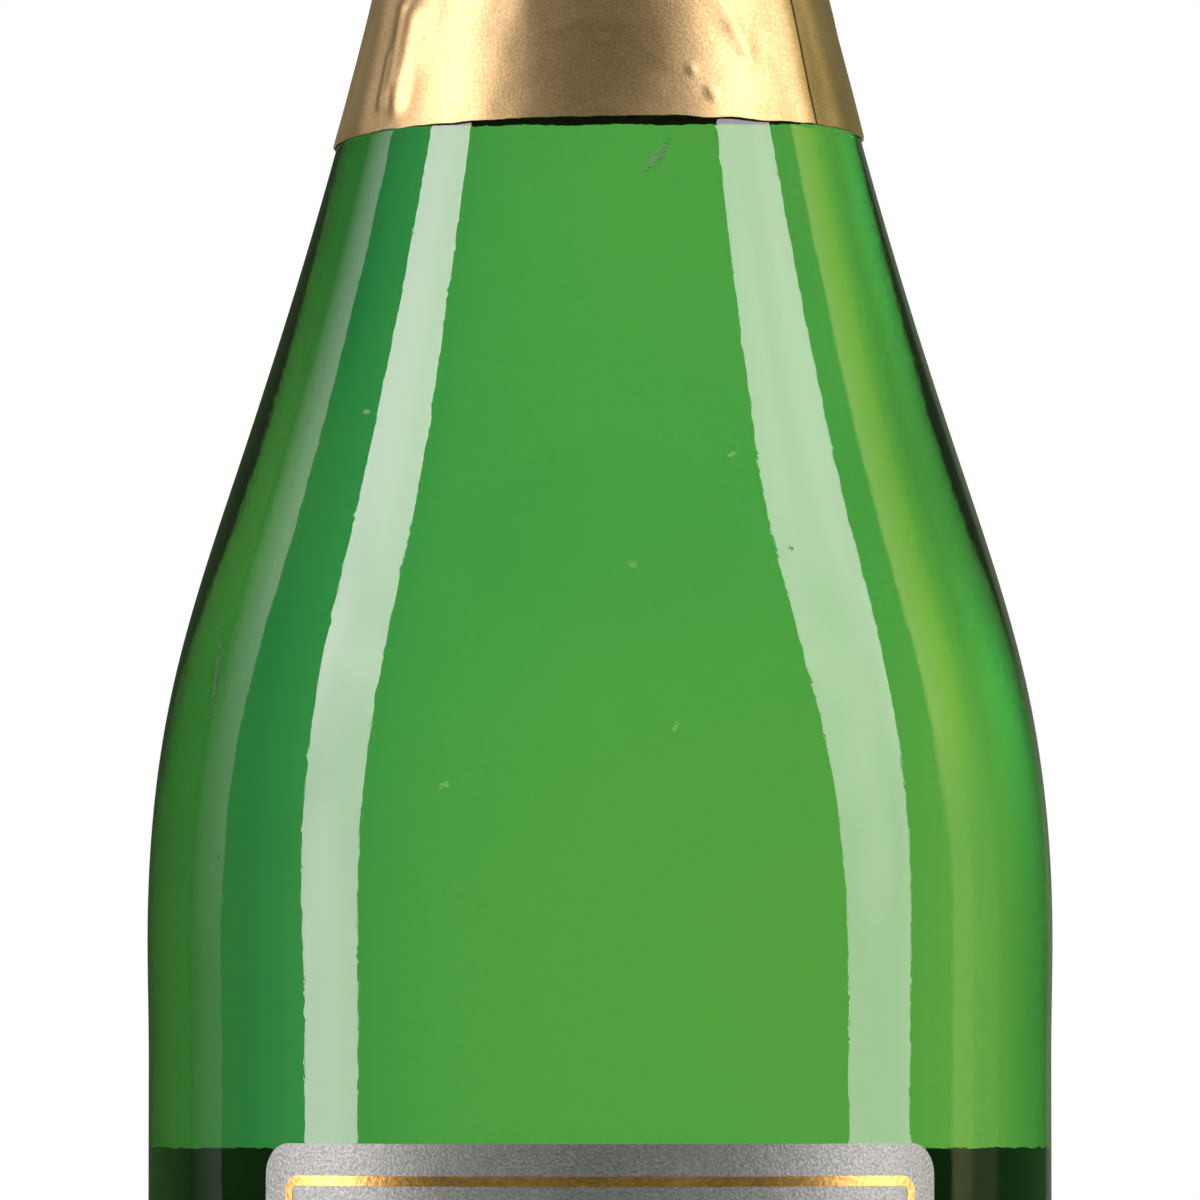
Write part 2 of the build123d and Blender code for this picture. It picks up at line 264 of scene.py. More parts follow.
def spun(outline, steps=ROUND_STEPS, arc_degrees=360, start=0.0):
    """A section spun round the axis from an azimuth."""
    shape = bmesh.new()
    first = Matrix.Rotation(radians(start - 90), 3, "Z")
    corners = [shape.verts.new(first @ Vector((radius, 0, level))) for radius, level in outline]
    edges = [shape.edges.new(pair) for pair in zip(corners, corners[1:])]
    bmesh.ops.spin(
        shape,
        geom=corners + edges,
        cent=(0, 0, 0),
        axis=(0, 0, 1),
        dvec=(0, 0, 0),
        angle=radians(arc_degrees),
        steps=steps,
        use_merge=arc_degrees == 360,
        use_duplicate=False,
    )
    bmesh.ops.remove_doubles(shape, verts=shape.verts, dist=MERGE_GAP)
    bmesh.ops.recalc_face_normals(shape, faces=shape.faces)
    return shape


def azimuth_of(point):
    """Degrees round from the front."""
    return degrees(atan2(point.x, -point.y))


def push_out(shape, distance):
    """Moves every point away from the axis by what distance(azimuth, level, radius) gives."""
    for vert in shape.verts:
        radius = hypot(vert.co.x, vert.co.y)
        if radius > 0.01:
            share = 1 + distance(azimuth_of(vert.co), vert.co.z, radius) / radius
            vert.co.x *= share
            vert.co.y *= share


def thicken(shape, thickness):
    """Gives a sheet its thickness, outwards."""
    shape.normal_update()
    bmesh.ops.solidify(shape, geom=shape.faces[:], thickness=-thickness)
    bmesh.ops.reverse_faces(shape, faces=shape.faces[:])


def join(shape, other):
    """Adds another shape to a shape."""
    spare = bpy.data.meshes.new("spare")
    other.to_mesh(spare)
    other.free()
    shape.from_mesh(spare)
    bpy.data.meshes.remove(spare)
    return shape


def wire_run(line, closed=False):
    """A round wire along a line of points."""
    curve = bpy.data.curves.new("wire_run", "CURVE")
    curve.dimensions = "3D"
    curve.bevel_depth = WIRE
    curve.bevel_resolution = 1
    curve.use_fill_caps = not closed
    spline = curve.splines.new("POLY")
    spline.points.add(len(line) - 1)
    for point, place in zip(spline.points, line):
        point.co = (*place, 1)
    spline.use_cyclic_u = closed
    holder = bpy.data.objects.new("wire_run", curve)
    mesh = bpy.data.meshes.new_from_object(holder)
    shape = bmesh.new()
    shape.from_mesh(mesh)
    bpy.data.objects.remove(holder)
    bpy.data.curves.remove(curve)
    bpy.data.meshes.remove(mesh)
    bmesh.ops.remove_doubles(shape, verts=shape.verts, dist=MERGE_GAP)
    bmesh.ops.recalc_face_normals(shape, faces=shape.faces)
    return shape


def twisted_pair(line, pitch):
    """Two wires twisted round each other along a line in the plane y = 0."""
    line = even_line(line, 0.4)
    side = Vector((0, 1, 0))
    strands = ([], [])
    walked = 0.0
    for i, point in enumerate(line):
        before, after = line[max(0, i - 1)], line[min(len(line) - 1, i + 1)]
        other = (after - before).normalized().cross(side)
        walked += (point - before).length
        for half, strand in enumerate(strands):
            turn = 2 * pi * walked / pitch + pi * half
            strand.append(point + (side * cos(turn) + other * sin(turn)) * WIRE)
    return join(*(wire_run(strand) for strand in strands))


def finished(name, shape, body, node, slot, *materials):
    """A shape in millimetres as a piece of the bottle, in metres."""
    bmesh.ops.scale(shape, vec=(MILLIMETRE,) * 3, verts=shape.verts)
    for face in shape.faces:
        face.smooth = True
    mesh = bpy.data.meshes.new(name)
    shape.to_mesh(mesh)
    shape.free()
    mesh.set_sharp_from_angle(angle=SHARP_ANGLE)
    for material in materials:
        mesh.materials.append(material)
    piece = bpy.data.objects.new(name, mesh)
    bpy.context.scene.collection.objects.link(piece)
    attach(piece, body)
    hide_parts(node)
    return piece


# Shader nodes


def add_node(tree, kind, inputs=None, **settings):
    """A node with its settings, and its inputs set or linked."""
    node = tree.nodes.new(kind)
    for name, value in settings.items():
        setattr(node, name, value)
    for key, value in (inputs or {}).items():
        if isinstance(value, bpy.types.NodeSocket):
            tree.links.new(value, node.inputs[key])
        else:
            node.inputs[key].default_value = value
    return node


def arithmetic(tree, operation, *values):
    return add_node(tree, "ShaderNodeMath", dict(enumerate(values)), operation=operation).outputs[0]


def blend_colour(tree, share, first, second, blend_type="MIX"):
    inputs = {0: share, 6: first, 7: second}
    return add_node(tree, "ShaderNodeMix", inputs, data_type="RGBA", blend_type=blend_type).outputs[2]


def rescale(tree, value, low, high, new_low, new_high, smooth=False):
    inputs = {0: value, 1: low, 2: high, 3: new_low, 4: new_high}
    kind = "SMOOTHSTEP" if smooth else "LINEAR"
    return add_node(tree, "ShaderNodeMapRange", inputs, interpolation_type=kind).outputs[0]


def place_on_piece(tree, stretch=(1, 1, 1)):
    """The place on the piece in metres, stretched."""
    place = add_node(tree, "ShaderNodeTexCoord").outputs["Object"]
    return add_node(tree, "ShaderNodeMapping", {"Vector": place, "Scale": stretch}).outputs[0]


def speckle(tree, place, scale, detail, roughness):
    inputs = {"Vector": place, "Scale": scale, "Detail": detail, "Roughness": roughness}
    return add_node(tree, "ShaderNodeTexNoise", inputs).outputs["Fac"]


def new_group(name, inputs, outputs):
    """An empty node group with named float inputs and outputs."""
    group = bpy.data.node_groups.new(name, "ShaderNodeTree")
    for label, default in inputs.items():
        socket = group.interface.new_socket(label, in_out="INPUT", socket_type="NodeSocketFloat")
        socket.default_value = default
    for label in outputs:
        group.interface.new_socket(label, in_out="OUTPUT", socket_type="NodeSocketFloat")
    return group, group.nodes.new("NodeGroupInput").outputs, group.nodes.new("NodeGroupOutput").inputs


def use_group(tree, group, **values):
    node = tree.nodes.new("ShaderNodeGroup")
    node.node_tree = group
    for key, value in values.items():
        node.inputs[key.replace("_", " ")].default_value = value
    return node.outputs


def grain_group():
    """Fine grain and slow drift: a height for bump and two shades round 0.5."""
    inputs = {"Grain size": 0.0003, "Drift size": 0.012}
    group, given, out = new_group("fine_grain", inputs, ["Height", "Grain", "Drift"])
    place = place_on_piece(group)
    fine = speckle(group, place, arithmetic(group, "DIVIDE", 1.0, given["Grain size"]), 3.0, 0.6)
    slow = speckle(group, place, arithmetic(group, "DIVIDE", 1.0, given["Drift size"]), 2.0, 0.5)
    group.links.new(fine, out["Height"])
    group.links.new(fine, out["Grain"])
    group.links.new(slow, out["Drift"])
    return group


def scratch_group():
    """Thin handling scratches and rubs as a mask."""
    group, given, out = new_group("handling_scratches", {"Length": 0.012, "Share": 0.5}, ["Mask"])
    masks = []
    for turn, lean in ((0.5, 0.0), (1.9, 3.1)):
        place = add_node(group, "ShaderNodeTexCoord").outputs["Object"]
        turned = {"Vector": place, "Rotation": (turn, lean, turn), "Scale": (1, 22, 1)}
        turned = add_node(group, "ShaderNodeMapping", turned).outputs[0]
        lines = speckle(group, turned, arithmetic(group, "DIVIDE", 1.0, given["Length"]), 1.0, 0.4)
        masks.append(rescale(group, lines, 0.66, 0.72, 0.0, 1.0))
    both = arithmetic(group, "MAXIMUM", *masks)
    group.links.new(arithmetic(group, "MULTIPLY", both, given["Share"]), out["Mask"])
    return group


def speck_group():
    """Scattered specks, such as dust or seeds, as a mask."""
    group, given, out = new_group("scattered_specks", {"Spacing": 0.012, "Speck size": 0.0003}, ["Mask"])
    place = place_on_piece(group)
    wobble = add_node(group, "ShaderNodeTexNoise", {"Vector": place, "Scale": 2500.0, "Detail": 1.0})
    moved = {0: wobble.outputs["Color"], "Scale": 0.0004}
    moved = add_node(group, "ShaderNodeVectorMath", moved, operation="SCALE").outputs[0]
    moved = add_node(group, "ShaderNodeVectorMath", {0: place, 1: moved}, operation="ADD").outputs[0]
    per_metre = arithmetic(group, "DIVIDE", 1.0, given["Spacing"])
    cells = add_node(group, "ShaderNodeTexVoronoi", {"Vector": moved, "Scale": per_metre})
    reach = arithmetic(group, "MULTIPLY", cells.outputs["Distance"], given["Spacing"])
    size = add_node(group, "ShaderNodeSeparateColor", {0: cells.outputs["Color"]}).outputs[0]
    size = arithmetic(group, "MULTIPLY", arithmetic(group, "POWER", size, 2.0), given["Speck size"])
    near = arithmetic(group, "DIVIDE", reach, size)
    group.links.new(rescale(group, near, 0.6, 1.0, 1.0, 0.0), out["Mask"])
    return group


GRAIN = grain_group()
SCRATCHES = scratch_group()
SPECKS = speck_group()


def new_material(name, **plain):
    """A material with its Principled shader, and plain values set on the shader itself."""
    material = bpy.data.materials.new(name)
    material.use_nodes = True
    tree = material.node_tree
    shader = tree.nodes["Principled BSDF"]
    for key, value in plain.items():
        shader.inputs[key.replace("_", " ")].default_value = value
    return material, tree, shader


def set_bump(tree, shader, height, distance):
    inputs = {"Height": height, "Distance": distance, "Strength": 1.0}
    tree.links.new(add_node(tree, "ShaderNodeBump", inputs).outputs[0], shader.inputs["Normal"])


GLASS_COLOUR = (0.30, 0.625, 0.26, 1)
# Marks on the shoulder's front: distance to the right, level, length, width, and lean in degrees
SCUFFS = (
    (5.3, 198.4, 1.9, 0.5, 50),
    (-14.6, 137.9, 0.6, 0.3, 20),
    (7.1, 143.3, 0.5, 0.25, 70),
    (3.1, 158.7, 0.4, 0.3, 0),
    (-36.9, 149.0, 4.5, 0.22, 83),
    (12.5, 169.5, 0.5, 0.25, 30),
    (-22.3, 174.0, 0.4, 0.25, 0),
)


def scuff(tree, across, level, length, width, lean):
    """A ragged mark on the front of the glass, as a mask."""
    place = place_on_piece(tree, (1000, 1000, 1000))
    moved = {"Vector": place, "Location": (-across, 0, -level)}
    place = add_node(tree, "ShaderNodeMapping", moved).outputs[0]
    turned = {"Vector": place, "Rotation": (0, -radians(lean), 0), "Scale": (length, 1e6, width)}
    away = add_node(tree, "ShaderNodeMapping", turned, vector_type="TEXTURE").outputs[0]
    away = add_node(tree, "ShaderNodeVectorMath", {0: away}, operation="LENGTH").outputs["Value"]
    away = arithmetic(tree, "SUBTRACT", away, 1.2)
    ragged = arithmetic(tree, "MULTIPLY_ADD", speckle(tree, place, 3.5, 2.0, 0.6), 2.4, away)
    facing = add_node(tree, "ShaderNodeSeparateXYZ", {0: place}).outputs[1]
    front = arithmetic(tree, "LESS_THAN", facing, 0.0)
    return arithmetic(tree, "MULTIPLY", rescale(tree, ragged, 0.6, 0.9, 1.0, 0.0), front)


def green_glass():
    """Moulded bottle glass: a slightly uneven skin, mould seams, a few specks and the scuffs."""
    material, tree, shader = new_material("green_glass", Transmission_Weight=1.0, IOR=1.52, Metallic=0.0)
    pores = speckle(tree, place_on_piece(tree), 1100.0, 2.0, 0.5)
    ripples = speckle(tree, place_on_piece(tree, (1, 1, 0.75)), 210.0, 1.5, 0.45)
    broad = speckle(tree, place_on_piece(tree, (1, 1, 0.5)), 45.0, 1.0, 0.4)
    skin = arithmetic(tree, "MULTIPLY_ADD", pores, 0.32, arithmetic(tree, "MULTIPLY", ripples, 0.7))
    height = arithmetic(tree, "MULTIPLY_ADD", broad, 2.2, skin)
    across = add_node(tree, "ShaderNodeSeparateXYZ", {0: place_on_piece(tree)}).outputs[1]
    seam = arithmetic(tree, "POWER", arithmetic(tree, "DIVIDE", across, 0.00018), 2.0)
    seam = arithmetic(tree, "EXPONENT", arithmetic(tree, "MULTIPLY", seam, -1.0))
    height = arithmetic(tree, "MULTIPLY_ADD", seam, 2.0, height)
    specks = use_group(tree, SPECKS, Spacing=0.011, Speck_size=0.0005)["Mask"]
    for mark in SCUFFS:
        specks = arithmetic(tree, "MAXIMUM", specks, scuff(tree, *mark))
    height = arithmetic(tree, "MULTIPLY_ADD", specks, 4.0, height)
    set_bump(tree, shader, height, 0.000016)
    tree.links.new(arithmetic(tree, "MULTIPLY", specks, 0.5), shader.inputs["Roughness"])
    base = blend_colour(tree, specks, GLASS_COLOUR, (0.76, 0.82, 0.50, 1))
    tree.links.new(base, shader.inputs["Base Color"])
    return material


def wetted_glass():
    """The glass's inner skin where the wine wets it. Light bends by the ratio of the two, 1.52 to 1.343."""
    material, tree, shader = new_material("wetted_glass", Transmission_Weight=1.0, IOR=1.132, Roughness=0.0)
    broad = speckle(tree, place_on_piece(tree, (1, 1, 0.5)), 40.0, 1.0, 0.4)
    base = blend_colour(tree, broad, GLASS_COLOUR, tuple(0.97 * part for part in GLASS_COLOUR[:3]) + (1,))
    tree.links.new(base, shader.inputs["Base Color"])
    set_bump(tree, shader, broad, 0.0001)
    return material


def wine_liquid(name, bending):
    """Pale straw wine. Its top bends light, and its skin at the glass doesn't, as the wetted glass does."""
    material, tree, shader = new_material(name, Transmission_Weight=1.0, IOR=bending, Roughness=0.0)
    drift = use_group(tree, GRAIN, Drift_size=0.05)["Drift"]
    base = blend_colour(tree, drift, (0.97, 0.955, 0.80, 1), (0.98, 0.965, 0.83, 1))
    tree.links.new(base, shader.inputs["Base Color"])
    return material


def sheet_metal(name, light, dark, roughness, grain_size, grain_height, scratch_share, **plain):
    """Thin satin metal or metallised paper: fine grain, drifting tone, and rubs that dull it."""
    material, tree, shader = new_material(name, Metallic=1.0, **plain)
    grain = use_group(tree, GRAIN, Grain_size=grain_size, Drift_size=0.014)
    rubs = use_group(tree, SCRATCHES, Length=0.016, Share=scratch_share)["Mask"]
    spots = rescale(tree, grain["Grain"], 0.35, 0.65, 0.0, 0.7)
    tone = arithmetic(tree, "MULTIPLY_ADD", grain["Drift"], 0.3, spots)
    base = blend_colour(tree, tone, (*dark, 1), (*light, 1))
    tree.links.new(base, shader.inputs["Base Color"])
    dull = rescale(tree, grain["Drift"], 0.3, 0.7, roughness - 0.03, roughness + 0.03)
    tree.links.new(arithmetic(tree, "MULTIPLY_ADD", rubs, 0.12, dull), shader.inputs["Roughness"])
    set_bump(tree, shader, arithmetic(tree, "MULTIPLY_ADD", rubs, -0.6, grain["Height"]), grain_height)
    return material


def paper_back():
    """The plain uncoated back of the label paper, seen through the glass."""
    material, tree, shader = new_material("label_paper_back", Roughness=0.8)
    grain = use_group(tree, GRAIN, Grain_size=0.0006, Drift_size=0.02)
    base = blend_colour(tree, grain["Grain"], (0.26, 0.26, 0.25, 1), (0.33, 0.33, 0.31, 1))
    tree.links.new(base, shader.inputs["Base Color"])
    set_bump(tree, shader, grain["Height"], 0.00002)
    return material


def pressed_cork():
    """Granules two to four millimetres across, each its own brown, with dark joints."""
    material, tree, shader = new_material("cork_granules", Roughness=0.85)
    place = place_on_piece(tree)
    inputs = {"Vector": place, "Scale": 420.0}
    cells = add_node(tree, "ShaderNodeTexVoronoi", inputs)
    joints = add_node(tree, "ShaderNodeTexVoronoi", inputs, feature="DISTANCE_TO_EDGE").outputs["Distance"]
    pick = add_node(tree, "ShaderNodeSeparateColor", {0: cells.outputs["Color"]}).outputs[0]
    fine = speckle(tree, place, 2200.0, 3.0, 0.6)
    base = blend_colour(tree, pick, (0.50, 0.31, 0.16, 1), (0.76, 0.56, 0.36, 1))
    base = blend_colour(tree, rescale(tree, fine, 0.35, 0.7, 0.0, 0.5), base, (0.42, 0.26, 0.13, 1))
    seam = rescale(tree, joints, 0.0, 0.06, 1.0, 0.0)
    base = blend_colour(tree, arithmetic(tree, "MULTIPLY", seam, 0.7), base, (0.24, 0.14, 0.07, 1))
    tree.links.new(base, shader.inputs["Base Color"])
    height = arithmetic(tree, "MULTIPLY_ADD", seam, -1.0, arithmetic(tree, "MULTIPLY", fine, 0.5))
    set_bump(tree, shader, height, 0.00012)
    return material


def whole_cork():
    """Natural cork in one piece, with growth bands and dark pores."""
    material, tree, shader = new_material("natural_cork", Roughness=0.8)
    bands = speckle(tree, place_on_piece(tree, (1, 0.25, 1)), 520.0, 3.0, 0.6)
    inputs = {"Vector": place_on_piece(tree, (1, 0.4, 1)), "Scale": 650.0}
    pores = add_node(tree, "ShaderNodeTexVoronoi", inputs)
    hole = rescale(tree, pores.outputs["Distance"], 0.12, 0.2, 1.0, 0.0)
    base = blend_colour(tree, bands, (0.60, 0.40, 0.22, 1), (0.86, 0.68, 0.46, 1))
    base = blend_colour(tree, arithmetic(tree, "MULTIPLY", hole, 0.8), base, (0.22, 0.12, 0.06, 1))
    tree.links.new(base, shader.inputs["Base Color"])
    set_bump(tree, shader, arithmetic(tree, "SUBTRACT", bands, hole), 0.0001)
    return material


def galvanised_wire():
    """Dull zinc on drawn wire, with a fine grain and brighter rubbed spots."""
    material, tree, shader = new_material("galvanised_wire", Metallic=1.0)
    grain = use_group(tree, GRAIN, Grain_size=0.0004, Drift_size=0.003)
    base = blend_colour(tree, grain["Drift"], (0.42, 0.42, 0.43, 1), (0.70, 0.70, 0.71, 1))
    tree.links.new(base, shader.inputs["Base Color"])
    tree.links.new(rescale(tree, grain["Grain"], 0.3, 0.7, 0.28, 0.48), shader.inputs["Roughness"])
    set_bump(tree, shader, grain["Height"], 0.00003)
    return material


MATERIALS = {
    "glass": green_glass(),
    "wetted_glass": wetted_glass(),
    "wine": wine_liquid("wine", 1.0),
    "wine_top": wine_liquid("wine_top", 1.343),
    "foil": sheet_metal(
        "gold_foil", (0.55, 0.43, 0.235), (0.38, 0.28, 0.105), 0.43, 0.00026, 0.000020, 0.2
    ),
    "tape": sheet_metal(
        "gold_tape", (0.62, 0.45, 0.22), (0.52, 0.37, 0.17), 0.3, 0.0006, 0.00001, 0.4, Coat_Weight=0.5
    ),
    "paper": sheet_metal(
        "silver_label_paper", (0.375, 0.412, 0.378), (0.195, 0.217, 0.197), 0.45, 0.00029, 0.000050, 0.1
    ),
    "paper_back": paper_back(),
    "line": sheet_metal(
        "stamped_gold_line", (0.70, 0.46, 0.15), (0.47, 0.28, 0.065), 0.28, 0.0005, 0.000030, 0.2
    ),
    "plate": sheet_metal(
        "gold_lacquered_plate",
        (0.78, 0.60, 0.32),
        (0.68, 0.50, 0.25),
        0.22,
        0.0008,
        0.000005,
        0.5,
        Coat_Weight=0.6,
    ),
    "granules": pressed_cork(),
    "cork": whole_cork(),
    "wire": galvanised_wire(),
}


# Glass and wine


def bottle_glass():
    """The bottle: heel, label panel, shoulder, neck, ring and lip outside; floor, wall and bore inside."""
    bearing_out = BODY - HEEL
    bearing_in = bearing_out - BEARING_WIDTH
    punt_end = (bearing_in - BEARING_ROUND * sin(PUNT_MOUTH), BEARING_ROUND * (1 - cos(PUNT_MOUTH)))
    outline = dome(punt_end[0], PUNT_DEPTH - punt_end[1], punt_end[1])
    outline += arc((bearing_in, BEARING_ROUND), BEARING_ROUND, 270 - degrees(PUNT_MOUTH), 270, 8)[1:]
    outline += arc((bearing_out, HEEL), HEEL, -90, 0, 14)
    outline += smooth_line([(BODY, LAND_TOP), (PANEL, PANEL_BOTTOM)], (0, 1), (0, 1), 8)
    outline += smooth_line([(PANEL, PANEL_TOP), (BODY, SHOULDER)], (0, 1), (0, 1), 14)
    outline += smooth_line(shoulder_knots(), (0, 1), (0, 1), 20)[1:]
    soft = RING_ROUND / 2
    ring = [(NECK, RING_UNDER), (RING, RING_UNDER + soft), (RING, RING_TOP), (GROOVE, GROOVE_LOW)]
    lip = [(GROOVE, GROOVE_HIGH), (LIP, LIP_LOW), (LIP, GLASS_TOP), (BORE, GLASS_TOP)]
    outline += rounded_line(ring + lip, [RING_ROUND, RING_ROUND, soft, soft, soft, LIP_ROUND])[:-1]
    outline += arc((BORE + MOUTH_ROUND, GLASS_TOP - MOUTH_ROUND), MOUTH_ROUND, 90, 180, 6)
    brim = brim_point()
    outline += [point for point in reversed(glass_inside()) if point.y > FILL_LEVEL] + [brim]
    wetted = spun([point for point in glass_inside() if point.y < FILL_LEVEL] + [brim])
    for face in wetted.faces:
        face.material_index = 1
    shape = join(spun(outline), wetted)
    bmesh.ops.remove_doubles(shape, verts=shape.verts, dist=MERGE_GAP)
    bmesh.ops.recalc_face_normals(shape, faces=shape.faces)
    skins = (MATERIALS["glass"], MATERIALS["wetted_glass"])
    finished("bottle_glass", shape, "bottle", "glass_bottle", "green_glass", *skins)


def wine_body():
    """The wine, with the curve of its top at the glass."""
    brim = brim_point()
    line = [point for point in glass_inside() if point.y < FILL_LEVEL] + [brim]
    top = [Vector((brim.x - inwards, FILL_LEVEL - drop)) for inwards, drop in MENISCUS]
    flat_level = FILL_LEVEL - MENISCUS[-1][1]
    shape = spun([*line, *top, Vector((0, flat_level))])
    shape.normal_update()
    for vert in shape.verts:
        vert.co -= vert.normal * WINE_GAP
    for face in shape.faces:
        on_top = face.calc_center_median().z > flat_level - 0.2 and face.normal.z > 0.2
        face.material_index = 1 if on_top else 0
    finished("wine_body", shape, "bottle", "wine", "wine", MATERIALS["wine"], MATERIALS["wine_top"])


# Foil

# Dents and creases of the lower foil: azimuth and level of both ends, half width and height in millimetres
CREASES = (
    (-55.5, 214.0, -54.0, 205.5, 0.9, 0.42),
    (-51.0, 213.0, -50.5, 204.5, 1.1, 0.40),
    (-53.4, 205.9, -53.0, 204.6, 0.5, -0.18),
    (-57.2, 209.5, -56.7, 204.8, 0.55, 0.30),
    (-48.0, 216.0, -47.0, 209.0, 1.5, 0.18),
    (-66.0, 215.0, -64.0, 204.0, 1.8, 0.20),
    (33.0, 211.5, 35.5, 209.0, 1.0, 0.12),
    (30.5, 214.0, 33.0, 212.0, 1.1, 0.08),
    (36.5, 209.5, 38.0, 212.5, 0.9, 0.07),
    (24.7, 204.9, 25.6, 204.7, 0.50, 0.16),
    (20.6, 207.1, 21.2, 206.9, 0.35, 0.12),
    (0.6, 209.8, 0.9, 209.6, 0.3, 0.10),
    (51.0, 218.0, 52.0, 203.0, 2.3, 0.32),
    (62.0, 216.0, 64.0, 204.0, 2.2, 0.18),
    (-20.0, 219.0, -18.0, 213.0, 1.6, 0.10),
    (120.0, 216.0, 122.0, 204.0, 1.6, 0.25),
    (150.0, 230.0, 154.0, 212.0, 1.8, 0.22),
    (-140.0, 222.0, -137.0, 206.0, 1.5, 0.25),
    (-110.0, 240.0, -108.0, 226.0, 1.8, 0.22),
    (75.0, 250.0, 77.0, 236.0, 1.6, 0.22),
    (10.0, 262.0, 13.0, 250.0, 1.4, 0.20),
    (-170.0, 262.0, -168.0, 246.0, 1.4, 0.22),
)


def within(value):
    """The value, kept between 0 and 1."""
    return max(0.0, min(1.0, value))


def from_nearest_leg(azimuth):
    """Degrees round from the nearest of the hood's legs."""
    return (azimuth - LEG_TURN + 45) % 90 - 45


def crease_height(azimuth, level, radius):
    """How far the creases lift the foil at a place."""
    lift = 0.0
    for azimuth_a, level_a, azimuth_b, level_b, half_width, height in CREASES:
        off = (azimuth - azimuth_a + 180) % 360 - 180
        across, up = radians(off) * radius, level - level_a
        run, climb = radians(azimuth_b - azimuth_a) * radius, level_b - level_a
        share = within((across * run + up * climb) / (run * run + climb * climb))
        away = hypot(across - run * share, up - climb * share) / half_width
        if away < 3:
            lift += height * exp(-away * away)
    return lift


def foil_lie(azimuth, level, radius):
    """How far the lower foil stands off the glass: glue, slow waves, creases and small ripples."""
    turn = radians(azimuth)
    place = Vector((radius * sin(turn), -radius * cos(turn), level))
    waves = 0.10 * (1 + noise.noise(place / 9.0))
    waves += 0.035 * (1 + noise.noise(place / 2.6 + Vector((7, 3, 5))))
    return GLUE + max(0.0, waves - 0.03 + crease_height(azimuth, level, radius))


def skirt_edge(azimuth, radius):
    """The level of the lower foil's cut edge: a tilted cut, not quite clean."""
    turn = radians(azimuth)
    tilt = tan(radians(0.8)) * radius * (sin(turn) + cos(turn))
    place = Vector((sin(turn), cos(turn), 0))
    return SKIRT_EDGE + tilt + 0.16 * noise.noise(place * 9) + 0.05 * noise.noise(place * 60)


def skirt_sheet(steps, arc_degrees, start, lift):
    """A stretch of the lower foil, with its cut edge and creases. Its rows lie closer near the edge."""
    rows, fine = 36, 14
    levels = [SKIRT_EDGE + fine * i / rows for i in range(rows)]
    levels += [SKIRT_EDGE + fine + (SKIRT_TOP - SKIRT_EDGE - fine) * i / rows for i in range(rows + 1)]
    shape = spun([(on_shoulder(level), level) for level in levels], steps, arc_degrees, start)
    for vert in shape.verts:
        share = max(0.0, (SKIRT_TOP - vert.co.z) / (SKIRT_TOP - SKIRT_EDGE))
        azimuth, radius = azimuth_of(vert.co), hypot(vert.co.x, vert.co.y)
        level = vert.co.z + (skirt_edge(azimuth, radius) - SKIRT_EDGE) * share**2
        away = on_shoulder(level) + foil_lie(azimuth, level, radius) + lift(azimuth, level)
        vert.co = Vector((vert.co.x * away / radius, vert.co.y * away / radius, level))
    return shape


def lower_foil():
    """One sheet rolled round shoulder and neck, its free end lapped over right of the front label."""

    def lap_lift(azimuth, level):
        tail = within((LAP_END + LAP_FADE - azimuth) / LAP_FADE)
        ragged = 0.02 * noise.noise(Vector((level / 3, 2, 1)))
        curl = 0.02 * exp(-max(0.0, azimuth - LAP_START) / 0.8) + ragged
        return (FOIL - 0.02) * tail - 0.14 * (1 - tail) + max(0.0, curl)

    ring = skirt_sheet(480, 360, 0, lambda azimuth, level: 0.0)
    flap = skirt_sheet(48, LAP_END + LAP_FADE - LAP_START, LAP_START, lap_lift)
    shape = join(ring, flap)
    thicken(shape, FOIL)
    finished("lower_foil", shape, "bottle", "foil_skirt", "gold_foil", MATERIALS["foil"])


def cut_perforation(shape, low, high):
    """Cuts a row of slits between two levels, leaving a bridge between each pair."""
    row = [f for f in shape.faces if low < f.calc_center_median().z < high]
    row.sort(key=lambda face: azimuth_of(face.calc_center_median()))
    slits = [face for i, face in enumerate(row) if i % BRIDGE_EVERY]
    bmesh.ops.delete(shape, geom=slits, context="FACES")


def tear_band():
    """The band that is torn off first, between two rows of slits, with a pressed line beside each."""
    foot = on_shoulder(SKIRT_TOP, GLUE)
    heights = (0, 0.2, 0.5, 0.9, 1.15, 1.4, 2.2, 3.3, 4.35, 5.4, 6.5, 7.3, 7.55, 7.8, 8.2, 8.5, 8.7)
    ridge = {1.15: 0.12, 7.55: 0.12}
    outline = []
    for height in heights:
        share = height / (STRIP_TOP - SKIRT_TOP)
        outline.append((foot + (CAP_RADIUS - foot) * share + ridge.get(height, 0.0), SKIRT_TOP + height))
    shape = spun(outline, 270)

    def uneven(azimuth, level, radius):
        return 0.10 * noise.noise(Vector((azimuth / 9, level / 3, 4))) * (level - SKIRT_TOP) / 9

    push_out(shape, uneven)
    cut_perforation(shape, SKIRT_TOP + SLIT_START, SKIRT_TOP + SLIT_END)
    cut_perforation(shape, STRIP_TOP - SLIT_END, STRIP_TOP - SLIT_START)
    thicken(shape, FOIL)
    finished("tear_band", shape, "bottle", "tear_strip", "gold_foil", MATERIALS["foil"])


def cap_pleats():
    """Pleats where the upper foil was gathered: azimuth, lean, half width, height and lowest level."""
    draw = random.Random(20)
    pleats = []
    for i in range(30):
        azimuth = i * 12 + draw.uniform(-4, 4)
        lean, half_width = draw.uniform(-0.35, 0.35), draw.uniform(0.8, 1.9)
        height, low = draw.uniform(0.15, 0.5), draw.uniform(284, 306)
        pleats.append((azimuth, lean, half_width, height, low))
    return pleats


